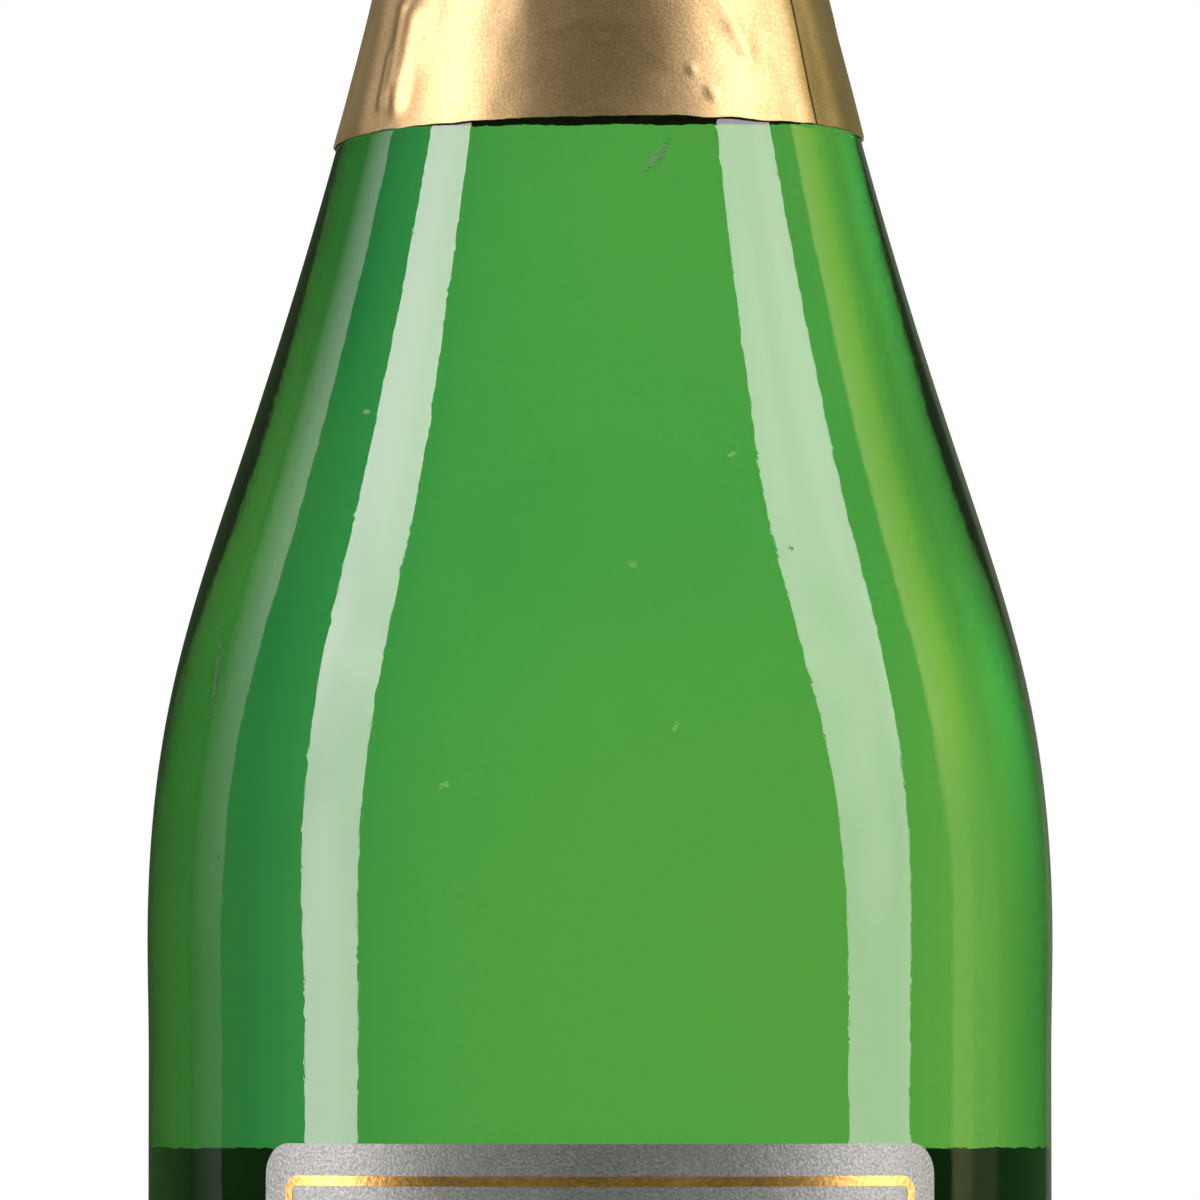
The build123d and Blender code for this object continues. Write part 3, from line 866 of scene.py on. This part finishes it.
def upper_foil():
    """The foil over cork and hood: drawn in between the wires, pleated, its top edge folded in."""
    wall = [(CAP_RADIUS, STRIP_TOP), (CAP_RADIUS, CAP_WALL_TOP)]
    crown = [(CAP_WAIST, CAP_WAIST_LEVEL), (CAP_WAIST, CAP_TOP), (CAP_FOLD, CAP_TOP)]
    foot = [Vector((CAP_RADIUS, STRIP_TOP + height)) for height in (0, SLIT_START, SLIT_END)]
    outline = foot + even_line(rounded_line(wall + crown, [4, 4, 2.2], 8), 0.6)[2:]
    shape = spun(outline, 420)
    pleats = cap_pleats()

    def gathered(azimuth, level, radius):
        if level > CAP_TOP - 0.02 and radius < CAP_WAIST - 2.3:
            return 0.0
        between = (1 - exp(-((from_nearest_leg(azimuth) / 16) ** 2))) * within((level - RING_UNDER) / 8)
        over_eye = exp(-((azimuth / 22) ** 4)) * within((304 - level) / 6)
        drawn = -0.85 * between * (1 - over_eye) * within((CAP_TOP - level) / 4)
        drawn *= 0.6 + 0.4 * noise.noise(Vector((azimuth / 25, level / 7, 9)))
        lift = 0.0
        for start, lean, half_width, height, low in pleats:
            off = (azimuth - start - lean * (level - GLASS_TOP) + 180) % 360 - 180
            fade = within((level - low) / 8) * within((CAP_TOP - level) / 1.5)
            lift += height * fade * exp(-((off / half_width) ** 2))
        place = Vector((sin(radians(azimuth)) * radius, cos(radians(azimuth)) * radius, level))
        return drawn + lift + 0.08 * noise.noise(place / 3)

    push_out(shape, gathered)
    cut_perforation(shape, STRIP_TOP + SLIT_START, STRIP_TOP + SLIT_END)
    thicken(shape, FOIL)
    finished("upper_foil", shape, "foil_top", "foil_cap", "gold_foil", MATERIALS["foil"])


def foil_disc():
    """The disc that closes the foil's top, with two pressed rings and a rounded edge."""
    low = CAP_TOP + FOIL
    edge = [(0, 0), (13.4, 0), (13.5, 0.03), (13.5, 0.11), (13.35, 0.15), (12.7, 0.15)]
    ring = [(12.4, 0.08), (11.6, 0.08), (11.3, 0.13)]
    middle = [(7.2, 0.13), (6.9, 0.07), (6.6, 0.07), (6.3, 0.13), (0, 0.14)]
    shape = spun([(radius, low + height) for radius, height in edge + ring + middle], 128)
    finished("foil_disc", shape, "foil_top", "foil_top_disc", "gold_foil", MATERIALS["foil"])


def tab_tongue():
    """The tongue that starts the tear: rounded, ribbed for grip, lying along the strip."""
    shape = bmesh.new()
    bmesh.ops.create_grid(shape, x_segments=1, y_segments=1, size=0.5)
    bmesh.ops.scale(shape, vec=(TAB_LENGTH, TAB_WIDTH, 1), verts=shape.verts)
    corners = shape.verts[:]
    bmesh.ops.bevel(
        shape, geom=corners, offset=TAB_CORNER, segments=7, profile=0.5, affect="VERTICES", material=-1
    )
    cut_columns(shape, TAB_LENGTH, 54)
    cut_columns(shape, TAB_WIDTH, 16, along="Y")
    foot = on_shoulder(SKIRT_TOP, GLUE)
    slope = (CAP_RADIUS - foot) / (STRIP_TOP - SKIRT_TOP)
    middle = (SKIRT_TOP + STRIP_TOP) / 2
    slant = sqrt(1 + slope * slope)
    for vert in shape.verts:
        across, up = vert.co.x, vert.co.y
        ribbed = 0.5 < across < 4.6 and abs(up) < 2.2
        rib = 0.07 * (0.5 + 0.5 * sin(across * 2 * pi / 1.1)) if ribbed else 0.0
        level = middle + up / slant * 1.06
        radius = foot + slope * (level - SKIRT_TOP) + (FOIL + 0.16 + rib) * slant
        turn = radians(TAB_AZIMUTH) + asin(across / radius)
        vert.co = Vector((radius * sin(turn), -radius * cos(turn), level))
    bmesh.ops.recalc_face_normals(shape, faces=shape.faces)
    face_out(shape)
    thicken(shape, TAB_THICKNESS)
    finished("tab_tongue", shape, "tab", "tear_tab", "gold_tape", MATERIALS["tape"])


# Labels


def cut_columns(shape, width, count, along="X"):
    """Cuts a flat outline into narrow strips so that it can bend."""
    way = Vector((1, 0, 0)) if along == "X" else Vector((0, 1, 0))
    for i in range(1, count):
        place = way * (width * (i / count - 0.5))
        geom = shape.verts[:] + shape.edges[:] + shape.faces[:]
        bmesh.ops.bisect_plane(shape, geom=geom, dist=0.0001, plane_co=place, plane_no=way)


def face_out(shape):
    """Turns a sheet's faces away from the axis."""
    shape.normal_update()
    if sum(f.normal.dot(Vector((*f.calc_center_median().xy, 0))) * f.calc_area() for f in shape.faces) < 0:
        bmesh.ops.reverse_faces(shape, faces=shape.faces[:])


def flat_outline(width, height, corner, line_width=None):
    """A rectangle with rounded corners, or only a line of one width round its edge."""
    shape = bmesh.new()
    bmesh.ops.create_grid(shape, x_segments=1, y_segments=1, size=0.5)
    bmesh.ops.scale(shape, vec=(width, height, 1), verts=shape.verts)
    bmesh.ops.bevel(
        shape, geom=shape.verts[:], offset=corner, segments=8, profile=0.5, affect="VERTICES", material=-1
    )
    if line_width:
        middle = shape.faces[:]
        bmesh.ops.inset_region(
            shape, faces=middle, thickness=line_width, use_even_offset=True, use_boundary=True
        )
        bmesh.ops.delete(shape, geom=middle, context="FACES")
    return shape


def wrap_on_body(shape, width, middle, radius, turn, thickness):
    """Cuts a flat shape into strips, wraps it round the body and gives it its thickness."""
    cut_columns(shape, width, 90)
    for vert in shape.verts:
        angle = vert.co.x / radius + radians(turn)
        vert.co = Vector((radius * sin(angle), -radius * cos(angle), middle + vert.co.y))
    face_out(shape)
    thicken(shape, thickness)


def label(name, top, height, seen_width, turn):
    """A silver paper label, and the gold line stamped round it."""
    radius = PANEL + GLUE
    width = 2 * radius * asin(seen_width / 2 / radius)
    middle = top - height / 2
    paper = flat_outline(width, height, LABEL_CORNER)
    wrap_on_body(paper, width, middle, radius, turn, PAPER)
    line_across = width - 2 * LINE_FROM_SIDE
    line = flat_outline(line_across, height - 2 * LINE_FROM_TOP, LINE_CORNER, LINE_WIDTH)
    wrap_on_body(line, line_across, middle, radius + PAPER, turn, GOLD_LINE)
    sides = (MATERIALS["paper"], MATERIALS["paper_back"])
    sheet = finished(name + "_paper", paper, "bottle", name, "silver_label_paper", *sides)
    for face in sheet.data.polygons:
        outward = Vector((*face.center.xy, 0)).normalized()
        face.material_index = 1 if face.normal.dot(outward) < -0.5 else 0
    finished(name + "_line", line, "bottle", name + "_frame", "stamped_gold_line", MATERIALS["line"])


# Cork, plate and wire


def corks():
    """The mushroom of pressed granules, and the two natural discs under it."""
    head_low = GLASS_TOP + 0.25
    shank = [(0, GRANULES_FOOT), (SHANK, GRANULES_FOOT), (SHANK, head_low), (11.15, head_low)]
    head = [(CORK_HEAD, head_low + 3.4), (CORK_HEAD, 315.9), (11.8, CORK_TOP), (0, CORK_TOP)]
    outline = rounded_line(shank + head, [0.1, 0.2, 1.6, 1.6, 2.2, 2.2])
    shape = spun(even_line(outline, 0.5), 128)
    for vert in shape.verts:
        if head_low + 0.4 < vert.co.z < CORK_TOP - 0.1:
            away = Vector((*vert.co.xy, 0)).normalized()
            vert.co -= away * 0.12 * (1 + noise.noise(vert.co / 1.6))
    finished("cork_mushroom", shape, "cork", "cork_body", "cork_granules", MATERIALS["granules"])
    for number, name in enumerate(("cork_disc_upper", "cork_disc_lower")):
        high = GRANULES_FOOT - number * SLICE
        low = high - SLICE
        disc = rounded_line([(0, low), (SHANK, low), (SHANK, high), (0, high)], [0.15, 0.15], 4)
        shape = spun(even_line(disc, 0.5), 96)
        finished(name.replace("disc", "slice"), shape, "cork", name, "natural_cork", MATERIALS["cork"])


def cap_plate():
    """The stamped plate on the cork: two pressed rings, and a rim turned down over the wire."""
    top, foot, edge = PLATE_TOP, PLATE_RIM_FOOT, PLATE_EDGE
    bend = (edge - 0.7, top - 0.7)
    outer = [(0, top), (4.6, top), (4.9, top - 0.14), (5.5, top - 0.14), (5.8, top), (11.2, top)]
    outer += [(11.6, top - 0.17), (12.6, top - 0.17), (13.0, top), (13.6, top)]
    outer += arc(bend, 0.7, 90, 0, 6)
    rim = [(edge, foot + 0.1), (edge - 0.05, foot), (edge - 0.25, foot), (edge - 0.3, foot + 0.1)]
    inner = [*arc(bend, 0.4, 0, 90, 5), (0, top - 0.3)]
    shape = spun(outer + rim + inner, 144)
    finished("stamped_plate", shape, "hood", "cap_plate", "gold_lacquered_plate", MATERIALS["plate"])


def upright(points):
    """Section points as places in the plane of azimuth 90 degrees."""
    return [Vector((x, 0, z)) for x, z in points]


def ring_of_wire(radius, centre, axis, steps):
    """A closed ring of wire."""
    turn = Vector((0, 0, 1)).rotation_difference(axis).to_matrix()
    angles = [2 * pi * i / steps for i in range(steps)]
    line = [centre + turn @ Vector((radius * cos(angle), radius * sin(angle), 0)) for angle in angles]
    return wire_run(line, closed=True)


def turn_round(shape, turn):
    """Turns a shape round the bottle's axis by degrees."""
    matrix = Matrix.Rotation(radians(turn), 3, "Z")
    bmesh.ops.rotate(shape, verts=shape.verts, cent=(0, 0, 0), matrix=matrix)


def wire_cage():
    """The hood's frame: four twisted legs with eyelets, hung from the ring under the plate's rim."""
    head = [(TOP_RING, 319.3), (TOP_RING, 318.5), (LEG_WAIST, 317.2)]
    foot = [(LEG_WAIST, 304), (LEG_FOOT, 296), (LEG_FOOT, BELT_LEVEL + EYELET_RADIUS - 0.1)]
    leg = twisted_pair(upright(rounded_line(head + foot, [0.6, 1.0, 4, 4])), 6.4)
    eyelet = ring_of_wire(EYELET_RADIUS, Vector((EYELET_CENTRE, 0, BELT_LEVEL)), Vector((0, 1, 0)), 28)
    shape = join(leg, eyelet)
    turn_round(shape, LEG_TURN)
    bmesh.ops.spin(
        shape,
        geom=shape.verts[:] + shape.edges[:] + shape.faces[:],
        cent=(0, 0, 0),
        axis=(0, 0, 1),
        dvec=(0, 0, 0),
        angle=radians(360 - 360 / LEG_COUNT),
        steps=LEG_COUNT - 1,
        use_duplicate=True,
    )
    join(shape, ring_of_wire(TOP_RING, Vector((0, 0, TOP_RING_LEVEL)), Vector((0, 0, 1)), 120))
    finished("wire_cage", shape, "hood", "cage_wire", "galvanised_wire", MATERIALS["wire"])


def wire_belt():
    """The belt through the eyelets, its ends twisted into a stem with the loop that is gripped."""
    hug = NECK + 0.25 + WIRE
    line = []
    for i in range(240):
        turn = i * 1.5
        radius = hug + (EYELET_CENTRE - hug) * exp(-((from_nearest_leg(turn) / 18) ** 2))
        line.append(Vector((radius * cos(radians(turn)), radius * sin(radians(turn)), BELT_LEVEL)))
    belt = wire_run(line, closed=True)
    stem_top = BELT_LEVEL + 5.5
    stem = rounded_line([(hug, BELT_LEVEL), (LEG_FOOT, BELT_LEVEL), (LEG_FOOT, stem_top)], [1.6])
    stem = twisted_pair(upright(stem), 3.2)
    half, high = 3.325, 8.15
    corners = [(0.3, 0), (half, 1.5), (half, high), (-half, high), (-half, 1.5), (-0.3, 0)]
    loop = rounded_line(corners, [1.6, 2.9, 2.9, 1.6])
    loop = wire_run([Vector((LEG_FOOT, across, stem_top - 0.2 + up)) for across, up in loop])
    shape = join(stem, loop)
    turn_round(shape, -90)
    join(shape, belt)
    finished("wire_belt", shape, "hood", "belt_wire", "galvanised_wire", MATERIALS["wire"])


# Room, light and camera

LAMP_COLOUR = (1.09, 0.93, 1.0, 1)


def softbox(name, azimuth, radiance, foot, head, fade=1.0):
    """A standing sheet of light a metre off that faces the bottle.

    Foot and head each have two ends, in metres to the left and right of the azimuth. The radiance has two
    values, at foot and head, and falls to a share at the left ends.
    """
    turn = radians(azimuth)
    middle, along = Vector((sin(turn), -cos(turn), 0)), Vector((cos(turn), sin(turn), 0))
    top = 1.25
    corners = [(foot[0], 0.0), (foot[1], 0.0), (head[1], top), (head[0], top)]
    shape = bmesh.new()
    places = [middle + along * across + Vector((0, 0, level)) for across, level in corners]
    shape.faces.new([shape.verts.new(place) for place in places])
    mesh = bpy.data.meshes.new(name)
    shape.to_mesh(mesh)
    shape.free()
    cloth = bpy.data.materials.new(name + "_cloth")
    cloth.use_nodes = True
    tree = cloth.node_tree
    tree.nodes.remove(tree.nodes["Principled BSDF"])
    place = add_node(tree, "ShaderNodeTexCoord").outputs["Object"]
    uneven = rescale(tree, speckle(tree, place, 4.0, 1.0, 0.5), 0.3, 0.7, 0.88, 1.12)
    level = add_node(tree, "ShaderNodeSeparateXYZ", {0: place}).outputs[2]
    glow = arithmetic(tree, "MULTIPLY", uneven, rescale(tree, level, 0.0, top, *radiance))
    across = add_node(tree, "ShaderNodeVectorMath", {0: place, 1: along}, operation="DOT_PRODUCT")
    share = rescale(tree, across.outputs["Value"], foot[0], foot[1], fade, 1.0)
    glow = arithmetic(tree, "MULTIPLY", glow, share)
    light = add_node(tree, "ShaderNodeEmission", {"Color": LAMP_COLOUR, "Strength": glow})
    tree.links.new(light.outputs[0], tree.nodes["Material Output"].inputs["Surface"])
    mesh.materials.append(cloth)
    box = bpy.data.objects.new(name, mesh)
    bpy.context.scene.collection.objects.link(box)
    box.visible_camera = box.visible_transmission = False


# The room round the bottle, by the angle in degrees from straight behind it towards the right, with the
# brightness of its red, green and blue. First comes what a surface mirrors, then what is seen through it.
MIRRORED_WALLS = (
    (-180, 0.075, 0.074, 0.047), (-125, 0.075, 0.074, 0.047), (-72, 0.04, 0.05, 0.04),
    (-38, 0.04, 0.07, 0.03), (2, 0.04, 0.07, 0.03), (6, 0.15, 0.19, 0.12), (18, 0.15, 0.19, 0.12),
    (22, 0.04, 0.07, 0.03),
    (57, 0.03, 0.05, 0.03), (61, 0.21, 0.23, 0.17), (70, 0.27, 0.29, 0.20), (72, 0.62, 0.59, 0.30),
    (78.5, 0.85, 0.80, 0.42), (80, 0.04, 0.04, 0.04), (125, 0.075, 0.074, 0.047),
    (180, 0.075, 0.074, 0.047),
)
# High up, the right wall is brighter and yellower
MIRRORED_HIGH_UP = (
    *(stop for stop in MIRRORED_WALLS if stop[0] <= 22),
    (46, 0.04, 0.07, 0.03), (57, 0.05, 0.07, 0.03), (64, 0.36, 0.39, 0.05), (72, 1.4, 1.35, 0.18),
    (80, 2.3, 1.95, 0.80), (81.5, 0.04, 0.04, 0.04),
    *(stop for stop in MIRRORED_WALLS if stop[0] > 81.5),
)
WALLS_BEHIND = (
    (-180, 0.5, 0.5, 0.5), (-90, 0.5, 0.5, 0.5), (-70, 0.8, 0.9, 0.9), (-58, 0.85, 1.0, 1.0),
    (-46, 0.85, 1.0, 0.95), (-38, 1.35, 1.08, 0.95), (-30, 1.6, 1.14, 1.0), (-22, 1.1, 1.0, 1.0),
    (0, 1.0, 1.0, 1.0),
    (10, 0.85, 0.95, 1.0), (20, 0.46, 0.74, 1.0), (28, 0.26, 0.52, 0.8), (36, 0.38, 0.50, 0.5),
    (45, 0.42, 0.50, 0.45), (60, 0.34, 0.40, 0.34), (76, 0.3, 0.36, 0.3), (90, 0.4, 0.4, 0.4),
    (180, 0.5, 0.5, 0.5),
)
# Low down, what is seen through the glass is cooler, and brighter on the left
COOL_LOW_DOWN = (
    (-180, 0.66, 0.98, 1.05), (-58, 0.66, 0.98, 1.05), (-48, 1.1, 1.75, 2.05), (-42, 1.05, 1.5, 1.7),
    (-39, 0.88, 1.3, 1.45), (-36, 0.66, 0.98, 1.05), (180, 0.66, 0.98, 1.05),
)


def walls_round(tree, angle, stops):
    """The colour at an angle, between the stops."""
    place = rescale(tree, angle, -pi, pi, 0.0, 1.0)
    ramp = add_node(tree, "ShaderNodeValToRGB", {0: place})
    elements = ramp.color_ramp.elements
    while len(elements) < len(stops):
        elements.new(0.5)
    for element, (degrees_round, *_) in zip(elements, stops):
        element.position = (degrees_round + 180) / 360
    for element, (_, *colour) in zip(elements, stops):
        element.color = (*colour, 1)
    return ramp.outputs[0]


def room():
    """White behind the bottle and dark in front of it: what is seen, mirrored and seen through the glass.

    A way is the direction looked in, with Y straight behind the bottle and Z up, each from -1 to 1.
    """
    world = bpy.data.worlds.new("studio")
    bpy.context.scene.world = world
    world.use_nodes = True
    tree = world.node_tree
    path = add_node(tree, "ShaderNodeLightPath").outputs
    way = add_node(tree, "ShaderNodeTexCoord").outputs["Generated"]
    way = add_node(tree, "ShaderNodeSeparateXYZ", {0: way}).outputs
    angle = arithmetic(tree, "ARCTAN2", way["X"], way["Y"])
    high = rescale(tree, way["Z"], 0.10, 0.26, 0.0, 1.0)
    walls = [walls_round(tree, angle, stops) for stops in (MIRRORED_WALLS, MIRRORED_HIGH_UP)]
    above = rescale(tree, way["Z"], 0.22, 0.34, 0.0, 1.0)
    backdrop = arithmetic(tree, "MULTIPLY", above, rescale(tree, way["Y"], 0.82, 0.90, 0.0, 1.0))
    ceiling = rescale(tree, way["Z"], 0.80, 0.92, 0.0, 1.0)
    white = arithmetic(tree, "MAXIMUM", backdrop, ceiling)
    mirrored = blend_colour(tree, white, blend_colour(tree, high, *walls), (0.8, 0.8, 0.8, 1))
    low = rescale(tree, way["Z"], -0.26, 0.0, 1.0, 0.0)
    behind, cool = [walls_round(tree, angle, stops) for stops in (WALLS_BEHIND, COOL_LOW_DOWN)]
    behind = blend_colour(tree, low, behind, cool, "MULTIPLY")
    colour = blend_colour(tree, path["Is Glossy Ray"], (0.6, 0.6, 0.6, 1), mirrored)
    colour = blend_colour(tree, path["Is Transmission Ray"], colour, behind)
    colour = blend_colour(tree, path["Is Camera Ray"], colour, (1, 1, 1, 1))
    background = tree.nodes["Background"]
    background.inputs["Strength"].default_value = 1.0
    tree.links.new(colour, background.inputs["Color"])


def floor():
    """A round of pale paper under the bottle that fades out towards its rim."""
    shape = bmesh.new()
    bmesh.ops.create_circle(shape, cap_ends=True, segments=96, radius=0.95)
    mesh = bpy.data.meshes.new("floor")
    shape.to_mesh(mesh)
    shape.free()
    material, tree, shader = new_material("floor_paper", Roughness=0.9)
    place = add_node(tree, "ShaderNodeTexCoord").outputs["Object"]
    distance = add_node(tree, "ShaderNodeVectorMath", {0: place}, operation="LENGTH").outputs["Value"]
    drift = speckle(tree, place, 9.0, 2.0, 0.5)
    base = blend_colour(tree, drift, (0.785, 0.815, 0.795, 1), (0.825, 0.855, 0.835, 1))
    tree.links.new(base, shader.inputs["Base Color"])
    clear = add_node(tree, "ShaderNodeBsdfTransparent").outputs[0]
    far = rescale(tree, distance, 0.25, 0.9, 0.0, 1.0, smooth=True)
    mixed = add_node(tree, "ShaderNodeMixShader", {0: far, 1: shader.outputs[0], 2: clear}).outputs[0]
    tree.links.new(mixed, tree.nodes["Material Output"].inputs["Surface"])
    mesh.materials.append(material)
    sheet = bpy.data.objects.new("floor", mesh)
    bpy.context.scene.collection.objects.link(sheet)


def camera():
    """In front of the bottle, a little above the label's top and looking slightly up."""
    lens = bpy.data.cameras.new("camera")
    lens.lens = 290.7
    lens.sensor_width = 36.0
    lens.clip_start, lens.clip_end = 0.01, 50.0
    holder = bpy.data.objects.new("camera", lens)
    bpy.context.scene.collection.objects.link(holder)
    holder.location = (0, -0.95, 0.112)
    aim = Vector((0, 0, 0.1572)) - holder.location
    holder.rotation_euler = aim.to_track_quat("-Z", "Y").to_euler()
    bpy.context.scene.camera = holder


bottle_glass()
wine_body()
lower_foil()
tear_band()
upper_foil()
foil_disc()
tab_tongue()
label("front_label", top=104.25, height=85.0, seen_width=63.1, turn=0)
label("back_label", top=103.2, height=78.0, seen_width=58.0, turn=180)
corks()
cap_plate()
wire_cage()
wire_belt()
room()
floor()
softbox("left_softbox", -70.6, radiance=(6.9, 10.8), foot=(-0.125, 0.150), head=(-0.320, 0.130))
softbox("right_softbox", 74.5, radiance=(5.3, 8.0), foot=(-0.165, 0.150), head=(-0.400, 0.220))
softbox("left_reflector", -127.0, radiance=(0.15, 3.0), foot=(0.020, 0.310), head=(0.020, 0.365), fade=0.0)
camera()
bpy.context.scene.view_settings.view_transform = "Standard"
